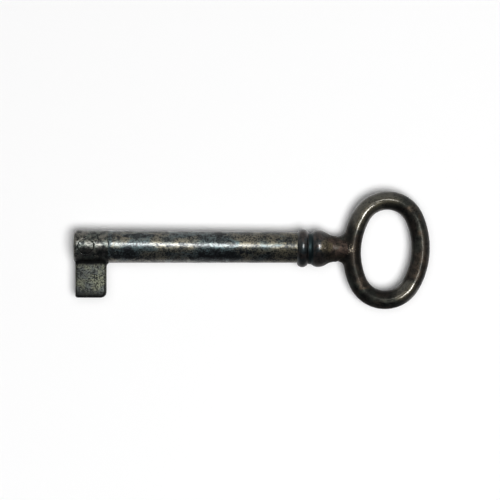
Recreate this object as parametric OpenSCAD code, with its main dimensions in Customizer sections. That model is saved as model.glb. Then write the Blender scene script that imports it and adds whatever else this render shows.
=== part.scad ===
// Furniture key with a drilled barrel, a plain bit and an oval bow.
// Millimetres. The origin is the centre of the barrel's open mouth. The barrel runs along +X,
// the bit hangs towards -Y, and +Z is up when the key lies on its side.

/* [Barrel] */
// Length of the barrel from its mouth to the collar
barrel_length = 45.4; // [35:0.2:60]
// Diameter of the barrel at the mouth
barrel_tip_d = 6.74; // [6.4:0.02:7.4]
// Diameter of the barrel at the collar
barrel_root_d = 6.28; // [6:0.02:6.8]
// Diameter of the hole for the lock's drill pin
pin_bore_d = 3.6; // [3:0.1:3.8]
// Depth of the pin hole, without its drill point
pin_bore_depth = 22; // [12:0.5:24]
// Point angle of the drill that made the pin hole
drill_point_angle = 118; // [90:1:140]
// Chamfer round the mouth of the pin hole
mouth_chamfer = 0.2; // [0.1:0.05:0.3]
// Diameter of the turned-down front end under the sleeve
front_seat_d = 5; // [4.8:0.05:5.2]

/* [Bit head] */
// Length of the sleeve that carries the bit
sleeve_length = 7.1; // [6.8:0.1:9]
// Radius round the sleeve's front edge
sleeve_round = 0.75; // [0.2:0.05:0.8]
// Width of the bit along the barrel
bit_width = 6.3; // [5:0.1:6.6]
// Distance from the barrel's axis to the bit's far edge
bit_reach = 10.4; // [8:0.1:13]
// Thickness of the bit
bit_thickness = 2.6; // [2:0.1:3.4]
// Distance of the bit's front edge behind the mouth
bit_set_back = 0.35; // [0.1:0.05:0.5]
// Radius of the bit's far corner on the mouth side
bit_front_corner_r = 0.5; // [0.3:0.05:1.5]
// Radius of the bit's far corner on the bow side
bit_rear_corner_r = 1.15; // [0.3:0.05:1.5]
// Radius of the rolled edges round the bit's two faces
bit_edge_r = 0.6; // [0.2:0.05:0.8]
// Radius of the fillet between the bit's rear edge and the sleeve
bit_root_r = 0.4; // [0.2:0.05:0.6]
// Radius of the fillets between the bit's two faces and the sleeve
bit_face_r = 0.7; // [0.3:0.05:1]

/* [Head pins] */
// Diameter of the two flush pins through the sleeve
head_pin_d = 3.2; // [2.4:0.1:3.4]
// Distance of the pins' axis behind the mouth
head_pin_place = 2.55; // [2.4:0.05:3.4]
// Width of the staked groove round each pin
stake_width = 0.12; // [0.08:0.02:0.16]
// Depth of the staked groove round each pin
stake_depth = 0.2; // [0.1:0.05:0.3]

/* [Collar] */
// Section radius of the collar's bead
collar_bead_r = 1.25; // [1.15:0.05:1.4]
// Diameter over the collar's crest
collar_d = 7.7; // [7.4:0.02:8.4]
// Length of the collar along the barrel
collar_length = 2.1; // [1.8:0.05:2.2]
// Diameter of the neck's seat under the collar
collar_seat_d = 4.4; // [4:0.1:4.8]

/* [Neck] */
// Diameter of the stem inside the barrel
stem_d = 3.6; // [3.2:0.1:3.8]
// Length of the stem inside the barrel
stem_length = 8; // [6:0.5:9]
// Lean of the stem, and all that it carries, towards the bit's side
neck_lean = 1.1; // [0:0.1:2]
// Diameter of the groove between the collar and the second bead
groove_d = 6.4; // [6:0.02:6.5]
// Length of the groove at its floor
groove_length = 0.77; // [0.5:0.01:1.4]
// Diameter over the second bead's crest
bead_d = 7.48; // [7.2:0.02:8]
// Radius of the second bead's front curve
bead_front_r = 1.85; // [1.6:0.05:2]
// Radius of the second bead's rear curve
bead_rear_r = 3; // [2.6:0.1:3.4]
// Radius of the hollow between the second bead and the waist
waist_hollow_r = 3.2; // [2.8:0.1:3.6]
// Diameter of the waist in front of the bow
waist_d = 5.24; // [4.9:0.02:5.4]
// Distance from the waist to the centre line of the bow's bar
waist_to_bow = 3.35; // [3:0.05:3.8]
// How far the neck's end passes the centre line of the bow's bar
neck_end_past = 0.2; // [0.1:0.05:0.3]
// Height of bow left standing over the neck's end
neck_end_cover = 0.06; // [0.04:0.01:0.12]

/* [Bow] */
// Diameter of the bow's round bar
bow_bar_d = 3.76; // [3.3:0.02:4.2]
// Half width of the oval, along the barrel, at the bar's centre line
bow_half_width = 6.98; // [6.2:0.02:8]
// Half height of the oval, across the barrel, at the bar's centre line
bow_half_height = 10.1; // [9.5:0.1:12]
// Radius of the oval's two ends at the bar's centre line
bow_end_r = 6; // [5.4:0.01:6.1]
// Lean of the oval's long axis away from square with the neck
bow_lean = 2.2; // [0:0.1:5]
// Radius of the fillet between the neck and the bow, on the side away from the bit
crotch_far_r = 1.5; // [0.8:0.05:1.8]
// Radius of the fillet between the neck and the bow, on the bit's side
crotch_near_r = 1; // [0.8:0.05:1.8]
// Thickness of the fillets' web
crotch_web_d = 2.8; // [2:0.1:3]

/* [Fits] */
// Clearance all round each seat that is brazed or pressed
seat_gap = 0.02; // [0.01:0.005:0.04]

/* [Hidden] */
$fn = 96;

// Anything longer or wider than the key, for cutting tools that run right through
beyond = 2 * (barrel_length + bow_half_height);

// Derived places are kept to whole microns, so that neighbouring stretches of a profile meet exactly
function micron(v) = round(v * 1000) / 1000;

pin_bore_r = pin_bore_d / 2;
drill_point_length = pin_bore_r / tan(drill_point_angle / 2);
front_seat_r = front_seat_d / 2;
head_pin_r = head_pin_d / 2;
stem_r = stem_d / 2;
stem_end_x = barrel_length - stem_length;
collar_seat_r = collar_seat_d / 2;
collar_bead_axis_r = collar_d / 2 - collar_bead_r;
collar_end = barrel_length + collar_length;

// The second bead's front curve rises out of the groove's floor, so the bead's crest is placed from there
bead_r = bead_d / 2;
groove_r = groove_d / 2;
bead_front_axis_r = bead_r - bead_front_r;
bead_rear_axis_r = bead_r - bead_rear_r;
bead_rise = sqrt(pow(bead_front_r, 2) - pow(groove_r - bead_front_axis_r, 2));
bead_crest_x = micron(collar_end + groove_length + bead_rise);

// The rear curve and the hollow meet without a corner, which fixes the waist behind the crest
waist_r = waist_d / 2;
hollow_axis_r = waist_r + waist_hollow_r;
ogee_r = bead_rear_r + waist_hollow_r;
ogee_length = sqrt(pow(ogee_r, 2) - pow(hollow_axis_r - bead_rear_axis_r, 2));
ogee_turn_x = micron(bead_crest_x + ogee_length * bead_rear_r / ogee_r);
waist_x = micron(bead_crest_x + ogee_length);

// The bow's front bar lies across the neck's end
bow_bar_r = bow_bar_d / 2;
bow_front_x = waist_x + waist_to_bow;
bow_x = bow_front_x + bow_half_width;
neck_end_x = bow_front_x + neck_end_past;
neck_end_r = bow_bar_r - neck_end_cover;

// The oval is four arcs that meet without a corner
bow_end_offset = bow_half_height - bow_end_r;
bow_side_r = (pow(bow_half_width, 2) + pow(bow_end_offset, 2) - pow(bow_end_r, 2))
    / (2 * (bow_half_width - bow_end_r));
bow_side_offset = bow_side_r - bow_half_width;
bow_side_angle = atan2(bow_end_offset, bow_side_offset);

// The sides' bar is a hair thinner than the ends' and runs a little way into it, which joins the arcs
arc_step = 0.01;
arc_lap_angle = 0.1;

crotch_web_r = crotch_web_d / 2;
bit_rear = bit_set_back + bit_width;
bit_flat = bit_thickness / 2 - bit_edge_r;

// The fillet behind the bit ends on the sleeve
root_fillet_r = min(bit_root_r, sleeve_length - bit_rear);

function barrel_r(x) = (barrel_tip_d + (barrel_root_d - barrel_tip_d) * x / barrel_length) / 2;

// Turns a profile drawn as [radius, distance behind the mouth] round the barrel's axis
module turned() {
    rotate([0, 90, 0]) rotate_extrude() children();
}

// A stretch of the barrel's tapered outside
module barrel_outside(from, to) {
    turned() polygon([[0, from], [barrel_r(from), from], [barrel_r(to), to], [0, to]]);
}

// Leans what the stem carries, about the stem's inner end
module leaned() {
    translate([stem_end_x, 0]) rotate(-neck_lean) translate([-stem_end_x, 0]) children();
}

// A round bar through the barrel, across its axis
module cross_bar(r) {
    translate([head_pin_place, 0, 0]) cylinder(r = r, h = beyond, center = true);
}

// A profile's stretch between two distances behind the mouth
module slice(from, to) {
    intersection() {
        children();
        translate([0, from]) square([beyond, to - from]);
    }
}

module barrel() {
    color("dimgray") difference() {
        union() {
            barrel_outside(sleeve_length, barrel_length + barrel_root_d * tan(neck_lean));
            turned() square([front_seat_r - seat_gap, sleeve_length]);
        }
        turned() polygon([
            [0, 0],
            [pin_bore_r, 0],
            [pin_bore_r, pin_bore_depth],
            [0, pin_bore_depth + drill_point_length]
        ]);
        turned() polygon([[0, 0], [pin_bore_r + mouth_chamfer, 0], [0, pin_bore_r + mouth_chamfer]]);
        leaned() turned() translate([0, stem_end_x]) square([stem_r, stem_length + collar_length]);
        leaned() turned() translate([0, barrel_length]) square([barrel_tip_d, collar_length]);
        cross_bar(head_pin_r + seat_gap);
    }
}

// The sleeve's wall, from its bore to its rounded front edge
module sleeve() {
    turned() difference() {
        union() {
            polygon([
                [0, sleeve_round],
                [barrel_r(sleeve_round), sleeve_round],
                [barrel_r(sleeve_length), sleeve_length],
                [0, sleeve_length]
            ]);
            square([barrel_r(0) - sleeve_round, sleeve_round]);
            slice(0, sleeve_round)
                translate([barrel_r(sleeve_round) - sleeve_round, sleeve_round]) circle(sleeve_round);
        }
        square([front_seat_r, beyond]);
    }
}

// The bit's outline seen from the side, from the barrel's axis down to its far edge
module bit_outline() {
    difference() {
        translate([bit_set_back, -bit_reach]) square([bit_width, bit_reach]);
        corner_waste(bit_set_back, bit_front_corner_r, 1);
        corner_waste(bit_rear, bit_rear_corner_r, -1);
    }
}

// What a rounded corner takes off the bit's outline, at its front (1) or rear (-1) edge
module corner_waste(edge, r, inward) {
    translate([edge + inward * r, r - bit_reach]) difference() {
        translate([inward > 0 ? -r : 0, -r]) square(r);
        circle(r);
    }
}

// The fillet in the corner between the bit's rear edge and the sleeve, seen from the side
module root_fillet() {
    sleeve_edge = -barrel_r(bit_rear);
    difference() {
        translate([bit_rear - root_fillet_r, sleeve_edge - root_fillet_r]) square(2 * root_fillet_r);
        translate([bit_rear + root_fillet_r, sleeve_edge - root_fillet_r]) circle(root_fillet_r);
    }
}

// The fillets in the corners between the bit's two faces and the sleeve, seen from the mouth
module face_fillets() {
    wall_r = barrel_r(bit_rear);
    fillet_z = bit_thickness / 2 + bit_face_r;
    fillet_y = -sqrt(pow(wall_r + bit_face_r, 2) - pow(fillet_z, 2));
    touch = wall_r / (wall_r + bit_face_r);
    for (face = [-1, 1]) difference() {
        polygon([
            [fillet_y, 0],
            [fillet_y, face * fillet_z],
            [fillet_y * touch, face * fillet_z * touch],
            [-front_seat_r, 0]
        ]);
        translate([fillet_y, face * fillet_z]) circle(bit_face_r);
    }
}

// A bar of the bit's thickness with rolled edges, seen end on
module rolled_section(wide) {
    square([wide - 2 * bit_edge_r, bit_thickness], center = true);
    square([wide, 2 * bit_flat], center = true);
    for (side = [-1, 1], face = [-1, 1])
        translate([side * (wide / 2 - bit_edge_r), face * bit_flat]) circle(bit_edge_r);
}

// The bit's plate: its side outline, rolled along the far edge and along the front and rear edges
module bit_plate() {
    intersection() {
        linear_extrude(bit_thickness, center = true) bit_outline();
        translate([bit_set_back, 0, 0]) rotate([90, 0, 90]) linear_extrude(bit_width) rolled_section(2 * bit_reach);
        translate([bit_set_back + bit_width / 2, 0, 0]) rotate([90, 0, 0])
            linear_extrude(bit_reach) rolled_section(bit_width);
    }
    linear_extrude(2 * bit_flat, center = true) root_fillet();
    translate([bit_set_back + bit_edge_r, 0, 0]) rotate([90, 0, 90])
        linear_extrude(bit_width - 2 * bit_edge_r) face_fillets();
}

module bit_head() {
    color("slategray") difference() {
        union() {
            sleeve();
            difference() {
                bit_plate();
                turned() square([front_seat_r, beyond]);
            }
        }
        cross_bar(head_pin_r + seat_gap);
        difference() {
            cross_bar(head_pin_r + stake_width);
            turned() square([barrel_r(head_pin_place) - stake_depth, 2 * sleeve_length]);
        }
    }
}

module head_pins() {
    color("darkgray") difference() {
        intersection() {
            cross_bar(head_pin_r);
            barrel_outside(0, sleeve_length);
        }
        turned() square([pin_bore_r, beyond]);
    }
}

module collar() {
    color("saddlebrown") leaned() turned() difference() {
        slice(barrel_length, collar_end)
            translate([collar_bead_axis_r, barrel_length + collar_length / 2]) circle(collar_bead_r);
        square([collar_seat_r, beyond]);
    }
}

module neck_profile() {
    translate([0, stem_end_x]) square([stem_r - seat_gap, stem_length]);
    translate([0, barrel_length]) square([collar_seat_r - seat_gap, collar_length]);
    translate([0, collar_end]) square([groove_r, bead_crest_x - collar_end]);
    slice(collar_end, bead_crest_x) translate([bead_front_axis_r, bead_crest_x]) circle(bead_front_r);
    slice(bead_crest_x, ogee_turn_x) translate([bead_rear_axis_r, bead_crest_x]) circle(bead_rear_r);
    difference() {
        translate([0, ogee_turn_x]) square([hollow_axis_r, waist_x - ogee_turn_x]);
        translate([hollow_axis_r, waist_x]) circle(waist_hollow_r);
    }
    polygon([[0, waist_x], [waist_r, waist_x], [neck_end_r, neck_end_x], [0, neck_end_x]]);
}

module neck() {
    color("saddlebrown") leaned() turned() intersection() {
        neck_profile();
        square([beyond, beyond]);
    }
}

// The oval of round bar, as four arcs round its centre
module oval_bar() {
    for (half = [0, 180]) rotate(half) {
        translate([-bow_side_offset, 0]) rotate(-bow_side_angle - arc_lap_angle)
            rotate_extrude(angle = 2 * (bow_side_angle + arc_lap_angle))
                translate([bow_side_r, 0]) circle(bow_bar_r - arc_step);
        translate([0, bow_end_offset]) rotate(bow_side_angle)
            rotate_extrude(angle = 180 - 2 * bow_side_angle) translate([bow_end_r, 0]) circle(bow_bar_r);
    }
}

// A rounded web that fills the corner between the neck and the bow, on the +Y side of a bow with this lean
module crotch_web(fillet_r, lean) {
    arc_x = bow_x + bow_side_offset * cos(lean);
    arc_y = -bow_side_offset * sin(lean);
    fillet_y = waist_r + fillet_r;
    fillet_x = arc_x - sqrt(pow(bow_side_r + bow_bar_r + fillet_r, 2) - pow(fillet_y - arc_y, 2));
    bow_angle = atan2(arc_y - fillet_y, arc_x - fillet_x);
    translate([fillet_x, fillet_y]) rotate(-90)
        rotate_extrude(angle = 90 + bow_angle) translate([fillet_r + crotch_web_r, 0]) circle(crotch_web_r);
}

module bow() {
    color("sienna") leaned() difference() {
        union() {
            translate([bow_x, 0]) rotate(-bow_lean) oval_bar();
            crotch_web(crotch_far_r, bow_lean);
            mirror([0, 1, 0]) crotch_web(crotch_near_r, -bow_lean);
        }
        turned() polygon([
            [0, waist_x - crotch_web_d],
            [waist_r + seat_gap, waist_x - crotch_web_d],
            [waist_r + seat_gap, waist_x],
            [neck_end_r + seat_gap, neck_end_x + seat_gap],
            [0, neck_end_x + seat_gap]
        ]);
    }
}

barrel();
bit_head();
head_pins();
collar();
neck();
bow();
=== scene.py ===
# %% [markdown]
# # An antique furniture key
# The key is a drilled steel barrel, a cast bit head pinned over its tip, and a turned collar and neck
# that carry an oval bow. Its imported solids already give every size. This lesson gives each of them its
# real surface: turned profiles with softened corners, cast iron with rolled edges, a brazed joint,
# patina, grain and wear.
#
# We start by loading the solids as a fixed frame, and we note the box that they fill, because no piece
# may leave it.

from math import acos, asin, atan2, cos, degrees, pi, radians, sin, sqrt, tan

import bmesh
import bpy
from mathutils import Matrix, Vector, noise


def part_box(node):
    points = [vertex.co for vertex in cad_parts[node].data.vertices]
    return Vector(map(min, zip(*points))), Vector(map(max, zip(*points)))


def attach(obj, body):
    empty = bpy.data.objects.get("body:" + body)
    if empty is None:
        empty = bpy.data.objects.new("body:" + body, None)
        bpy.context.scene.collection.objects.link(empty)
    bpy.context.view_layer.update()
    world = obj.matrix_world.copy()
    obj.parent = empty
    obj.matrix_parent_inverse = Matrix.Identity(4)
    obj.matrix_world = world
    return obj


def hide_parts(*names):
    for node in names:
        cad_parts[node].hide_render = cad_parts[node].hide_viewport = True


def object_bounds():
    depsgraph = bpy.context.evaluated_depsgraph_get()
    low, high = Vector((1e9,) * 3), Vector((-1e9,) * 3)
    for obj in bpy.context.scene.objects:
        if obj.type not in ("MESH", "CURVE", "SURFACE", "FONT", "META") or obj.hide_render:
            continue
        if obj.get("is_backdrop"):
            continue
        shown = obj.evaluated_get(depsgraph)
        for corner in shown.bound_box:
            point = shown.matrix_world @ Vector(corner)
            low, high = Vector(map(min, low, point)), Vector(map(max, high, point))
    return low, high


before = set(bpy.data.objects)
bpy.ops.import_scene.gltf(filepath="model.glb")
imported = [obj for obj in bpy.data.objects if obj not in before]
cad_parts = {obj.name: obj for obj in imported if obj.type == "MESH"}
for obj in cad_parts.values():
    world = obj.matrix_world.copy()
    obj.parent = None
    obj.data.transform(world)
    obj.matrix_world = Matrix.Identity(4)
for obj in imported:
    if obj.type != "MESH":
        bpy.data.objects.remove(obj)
cad_low, cad_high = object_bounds()
MM = 0.001
print("solids fill", [round(size / MM, 2) for size in cad_high - cad_low], "mm")

# %% [markdown]
# ## Sizes
# The barrel runs along +X from its mouth at the origin, the bit hangs towards -Y, and +Z is up as the
# key lies on its side. What the frame can tell is read from it, such as where the sleeve ends. The radii
# of beads, hollows and fillets are named in millimetres, as a turner would note them. Sizes that several
# pieces share stand here, the others where they are first needed. The neck, with all that it carries,
# leans a little towards the bit about the inner end of its stem.

# %% Shared sizes
MOUTH_R = 6.74 * MM / 2
COLLAR_FACE = 45.4 * MM
BARREL_END_R = 6.28 * MM / 2
SLEEVE_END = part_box("bit_head")[1].x
BIT_FAR_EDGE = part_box("bit_head")[0].y
PIN_BORE_R = 1.8 * MM
STEM_R = 1.78 * MM
STEM_END = 37.4 * MM
NECK_LEAN = radians(1.1)
BAR_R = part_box("bow")[1].z
SAME_PLACE = 0.01 * MM


def barrel_r(x):
    """Radius of the tapering barrel at a distance behind its mouth."""
    return MOUTH_R + (BARREL_END_R - MOUTH_R) * x / COLLAR_FACE


LEANED = (Matrix.Translation((STEM_END, 0, 0)) @ Matrix.Rotation(-NECK_LEAN, 4, "Z")
          @ Matrix.Translation((-STEM_END, 0, 0)))
print("sleeve ends", round(SLEEVE_END / MM, 2), "mm behind the mouth")
print("bow's bar is", round(2 * BAR_R / MM, 2), "mm thick")

# %% [markdown]
# ## Camera
# The key was pictured from straight above, with no visible perspective. An orthographic camera could
# show that. A long lens far away gives the same flat view, and still lets other views move round the
# object. The picture is square and its width in millimetres at the key is a named value, so the lens and
# the sensor give the distance. The camera is turned by a fraction of a degree.

# %% Camera
PICTURE_WIDTH = 101.6 * MM
PICTURE_CENTRE = Vector((35.78 * MM, -0.57 * MM, 0))
PICTURE_TURN = radians(0.236)
LENS = 200
SENSOR = 36

camera_data = bpy.data.cameras.new("camera")
camera_data.lens = LENS
camera_data.sensor_width = SENSOR
camera = bpy.data.objects.new("camera", camera_data)
camera.location = PICTURE_CENTRE + Vector((0, 0, PICTURE_WIDTH * LENS / SENSOR))
camera.rotation_euler = (0, 0, PICTURE_TURN)
bpy.context.scene.collection.objects.link(camera)
bpy.context.scene.camera = camera
print("camera stands", round(camera.location.z, 3), "m above the key")

# %% [markdown]
# ## Node helpers
# Paper, sky and metals are all trees of nodes. They could be wired by hand in the shader editor. In a
# script, a few small functions do the same work and keep each tree short enough to read: one adds a
# node, one feeds a socket, and the others map a range, reckon with numbers, or mix colours and shaders.

# %% Helpers that build a tree of nodes


def nodes_of(material):
    """A material's empty node tree, with its output node made."""
    material.use_nodes = True
    tree = material.node_tree
    tree.nodes.clear()
    tree.nodes.new("ShaderNodeOutputMaterial")
    return tree


def add(tree, kind, **settings):
    """A new node with its plain settings."""
    node = tree.nodes.new(kind)
    for name, value in settings.items():
        setattr(node, name, value)
    return node


def feed(tree, socket, value):
    """Links a socket to another one, or sets it to a plain number or colour."""
    if isinstance(value, bpy.types.NodeSocket):
        tree.links.new(value, socket)
    else:
        socket.default_value = (*value, 1) if isinstance(value, tuple) else value


def place_along(tree, where, axis):
    """How far a point lies along one axis, in metres."""
    split = add(tree, "ShaderNodeSeparateXYZ")
    feed(tree, split.inputs["Vector"], where)
    return split.outputs[axis]


def between(tree, value, low, high, to_low=0.0, to_high=1.0):
    """Takes a value's range from low to high onto another range, smoothly, and holds it at the ends."""
    remap = add(tree, "ShaderNodeMapRange", interpolation_type="SMOOTHSTEP")
    remap.inputs["From Min"].default_value = low
    remap.inputs["From Max"].default_value = high
    remap.inputs["To Min"].default_value = to_low
    remap.inputs["To Max"].default_value = to_high
    feed(tree, remap.inputs["Value"], value)
    return remap.outputs["Result"]


def reckon(tree, operation, first, second, third=0.0):
    """Works out a sum, a product or the like of two or three numbers."""
    sum_node = add(tree, "ShaderNodeMath", operation=operation)
    for socket, value in zip(sum_node.inputs, (first, second, third)):
        feed(tree, socket, value)
    return sum_node.outputs[0]


def blend(tree, share, first, second):
    """Mixes two colours by a share."""
    mix = add(tree, "ShaderNodeMix", data_type="RGBA")
    feed(tree, mix.inputs[0], share)
    feed(tree, mix.inputs[6], first)
    feed(tree, mix.inputs[7], second)
    return mix.outputs[2]


def blend_value(tree, share, first, second):
    """Mixes two numbers by a share."""
    mix = add(tree, "ShaderNodeMix", data_type="FLOAT")
    feed(tree, mix.inputs[0], share)
    feed(tree, mix.inputs[2], first)
    feed(tree, mix.inputs[3], second)
    return mix.outputs[0]


def blend_shader(tree, share, first, second):
    """Mixes two shaders by a share."""
    mix = add(tree, "ShaderNodeMixShader")
    for socket, value in zip(mix.inputs, (share, first, second)):
        feed(tree, socket, value)
    return mix.outputs["Shader"]


# %% [markdown]
# ## Floor and light
# The key lies on white paper. A diffuse floor just under its lowest point keeps the soft shadow. Dark
# polished metal shows little of itself and much of its surroundings, so the light matters as much as the
# finish. One lamp could light everything, but then no highlight could be moved without the shadow. So
# two wide lamps light only the paper: one fills it, and the other throws the shadow to the upper left.
# Five small ones light only metal: one draws the long streak on the barrel, one lights the mouldings and
# three the bow. Between their lights the metal mirrors the paper and a dim sky.

# %% Floor
FLOOR_SIZE = 6.0
WHITE_PAPER = (0.96, 0.96, 0.96)
# Painted shade in the paper's glow for the metal: dim on the bit's side, and nearer to the key where collar,
# neck and bow would shade the paper.
PAPER_PAINTED_SHADE = 0.30
DARK_FROM = -42 * MM
PALE_FROM = -12 * MM
PAINTED_SHADE_X = (26 * MM, 46 * MM)
LIT_X = (66 * MM, 76 * MM)
PAINTED_SHADE_NEARER = 22 * MM
FAR_OFF = (0.15, 0.45)


def white_paper():
    """Paper that is diffuse near the key, plain white far off, and clear from below.

    The metal sees it glow evenly, but with painted shade: darker on the bit's side, and darker nearer to the
    key where collar, neck and bow would shade the paper."""
    material = bpy.data.materials.new("white_paper")
    tree = nodes_of(material)
    diffuse = add(tree, "ShaderNodeBsdfDiffuse")
    feed(tree, diffuse.inputs["Color"], WHITE_PAPER)
    where = add(tree, "ShaderNodeTexCoord").outputs["Object"]
    ray = add(tree, "ShaderNodeLightPath")
    along = place_along(tree, where, "X")
    # Painted shade in the glow: its dim part comes nearer to the key behind the barrel.
    past_barrel = between(tree, along, *PAINTED_SHADE_X, 0.0, PAINTED_SHADE_NEARER)
    before_end = between(tree, along, *LIT_X, 1.0, 0.0)
    moved = reckon(tree, "MULTIPLY", past_barrel, before_end)
    out_front = reckon(tree, "SUBTRACT", place_along(tree, where, "Y"), moved)
    brightness = between(tree, out_front, DARK_FROM, PALE_FROM, PAPER_PAINTED_SHADE, 1.0)
    glow = add(tree, "ShaderNodeEmission")
    feed(tree, glow.inputs["Strength"], reckon(tree, "MAXIMUM", brightness, ray.outputs["Is Camera Ray"]))
    away = add(tree, "ShaderNodeVectorMath", operation="LENGTH")
    feed(tree, away.inputs[0], where)
    far_off = between(tree, away.outputs["Value"], *FAR_OFF)
    glowing = reckon(tree, "MAXIMUM", far_off, ray.outputs["Is Glossy Ray"])
    paper = blend_shader(tree, glowing, diffuse.outputs["BSDF"], glow.outputs["Emission"])
    from_below = add(tree, "ShaderNodeNewGeometry").outputs["Backfacing"]
    clear = add(tree, "ShaderNodeBsdfTransparent").outputs["BSDF"]
    shown = blend_shader(tree, from_below, paper, clear)
    feed(tree, tree.nodes["Material Output"].inputs["Surface"], shown)
    return material


bm = bmesh.new()
bmesh.ops.create_grid(bm, x_segments=1, y_segments=1, size=FLOOR_SIZE / 2)
floor_mesh = bpy.data.meshes.new("floor")
bm.to_mesh(floor_mesh)
bm.free()
floor_mesh.materials.append(white_paper())
floor = bpy.data.objects.new("floor", floor_mesh)
floor.location.z = cad_low.z
bpy.context.scene.collection.objects.link(floor)
floor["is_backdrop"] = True
print("floor lies at", round(cad_low.z / MM, 2), "mm")

# %% [markdown]
# A lamp is a soft oval that looks at a place on the key. Two tilts say from where: tilted to +X or +Y, it
# shows on the flank of the metal that faces there, at half the tilt, as in a mirror. A long oval draws a
# line and a round one a spot.

# %% Lamps
PAPER_ONLY = dict(visible_glossy=False)
METAL_ONLY = dict(visible_diffuse=False)
KEY_MIDDLE = (36 * MM, 0, 0)
BARREL_MIDDLE = (24 * MM, 0, 0)
MOULDINGS = (50 * MM, 0, 0)
BOW_MIDDLE = (62 * MM, 0, 0)
COOL_LIGHT = (0.96, 0.99, 1)
MILD_LIGHT = (1, 0.99, 0.97)
WARM_LIGHT = (1, 0.97, 0.91)
WARMEST_LIGHT = (1, 0.97, 0.88)


def area_lamp(name, aim, tilt, distance, size, brightness, turn=0, colour=(1, 1, 1), **seen_by):
    """A soft lamp that looks at a point, tilted from straight above by two angles towards +X and +Y.

    Its brightness is that of its face, as a mirror would show it, so it doesn't change with its size or
    distance."""
    data = bpy.data.lights.new(name, "AREA")
    data.shape = "ELLIPSE"
    data.size, data.size_y = size
    data.energy = brightness * pi * (pi / 4 * size[0] * size[1])
    data.color = colour
    lamp = bpy.data.objects.new(name, data)
    towards = Vector((tan(radians(tilt[0])), tan(radians(tilt[1])), 1)).normalized()
    across = Matrix.Rotation(radians(turn), 4, "Z") @ Vector((1, 0, 0))
    side = (across - across.dot(towards) * towards).normalized()
    lamp.matrix_world = Matrix((side, towards.cross(side), towards)).transposed().to_4x4()
    lamp.location = Vector(aim) + distance * towards
    for setting, value in seen_by.items():
        setattr(lamp, setting, value)
    bpy.context.scene.collection.objects.link(lamp)
    return lamp


area_lamp("paper_lamp", KEY_MIDDLE, tilt=(0, 0), distance=1.0, size=(0.9, 0.9), brightness=2.0,
          **PAPER_ONLY)
area_lamp("shadow_lamp", KEY_MIDDLE, tilt=(11, -11), distance=1.0, size=(0.46, 0.46), brightness=14.6,
          **PAPER_ONLY)
streak_lamp = area_lamp("streak_lamp", BARREL_MIDDLE, tilt=(0, 14.5), distance=0.15, size=(0.084, 0.023),
                        brightness=43, turn=-46, colour=COOL_LIGHT, **METAL_ONLY)
bead_lamp = area_lamp("bead_lamp", MOULDINGS, tilt=(13, 13.5), distance=0.8, size=(0.18, 0.40),
                      brightness=41, colour=MILD_LIGHT, **METAL_ONLY)
bow_lamp = area_lamp("bow_lamp", BOW_MIDDLE, tilt=(22.5, -3), distance=0.8, size=(0.36, 0.12),
                     brightness=26, turn=84, colour=WARM_LIGHT, **METAL_ONLY)
glint_lamp = area_lamp("glint_lamp", BOW_MIDDLE, tilt=(16.5, -12), distance=0.8, size=(0.15, 0.12),
                       brightness=38, colour=WARM_LIGHT, **METAL_ONLY)
top_lamp = area_lamp("top_lamp", BOW_MIDDLE, tilt=(3, 9.5), distance=0.8, size=(0.10, 0.12),
                     brightness=20, colour=WARMEST_LIGHT, **METAL_ONLY)

# %% [markdown]
# The sky is a gradient over directions that only the metal reflects: dim in front of the key, on the
# bit's side, and paler behind it, which gives the barrel's upper side its grey sheen. A picture of a
# studio could stand there, but two colours are all that such dark metal shows. The camera sees plain
# white instead.

# %% Sky
SKY_DIM = (0.20, 0.215, 0.23)
SKY_PALE = (0.98, 1.0, 1.0)
PLAIN_WHITE = (1, 1, 1)
PALE_SIDE = Vector((-0.2, 1, 0)).normalized()
DIM_BELOW = -0.45
PALE_ABOVE = 0.55

world = bpy.data.worlds.new("studio_sky")
world.use_nodes = True
world.cycles_visibility.diffuse = False
bpy.context.scene.world = world
sky = world.node_tree
sky.nodes.clear()
side = add(sky, "ShaderNodeVectorMath", operation="DOT_PRODUCT")
side.inputs[1].default_value = PALE_SIDE
feed(sky, side.inputs[0], add(sky, "ShaderNodeTexCoord").outputs["Generated"])
paleness = add(sky, "ShaderNodeMapRange")
paleness.inputs["From Min"].default_value = DIM_BELOW
paleness.inputs["From Max"].default_value = PALE_ABOVE
feed(sky, paleness.inputs["Value"], side.outputs["Value"])
gradient = blend(sky, paleness.outputs["Result"], SKY_DIM, SKY_PALE)
to_camera = add(sky, "ShaderNodeLightPath").outputs["Is Camera Ray"]
light = add(sky, "ShaderNodeBackground")
feed(sky, light.inputs["Color"], blend(sky, to_camera, gradient, PLAIN_WHITE))
feed(sky, add(sky, "ShaderNodeOutputWorld").inputs["Surface"], light.outputs["Background"])
bpy.context.scene.view_settings.view_transform = "Standard"
print("the sky has", len(sky.nodes), "nodes")

# %% [markdown]
# ## Finishes
# Every finish here is a dark patina over metal, and it shines twice. The metal under the patina gives a
# broad, tinted glow, and the patina's own waxy skin gives a narrow white highlight and the pale rims. One
# rough metal could not do both, so each finish is a metallic Principled shader with a very dark colour
# under a coat. Life comes from what varies: broad stains in two tints, rubbed and unrubbed patches, fine
# pits that are dark and dull, and a bump at the scale of the grain.
#
# Wear that has a place on the real key, such as a rubbed spot or a sooty corner, is an oval with a
# centre and two half sizes, whose edge the noise makes ragged. All patterns read Object coordinates, so
# they stay put on the piece, and no image is used. A value named OVER is the range of a noise over which
# something shows, such as brown stains, rubbed patches or metal that is clean of pits.

# %% Helpers that lay a finish
OVAL_EDGE = (0.7, 1.25)
SKIN_IOR = 1.6
SKIN_IN_PITS = 0.30
FINE_IN_BUMP = 0.35


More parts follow.
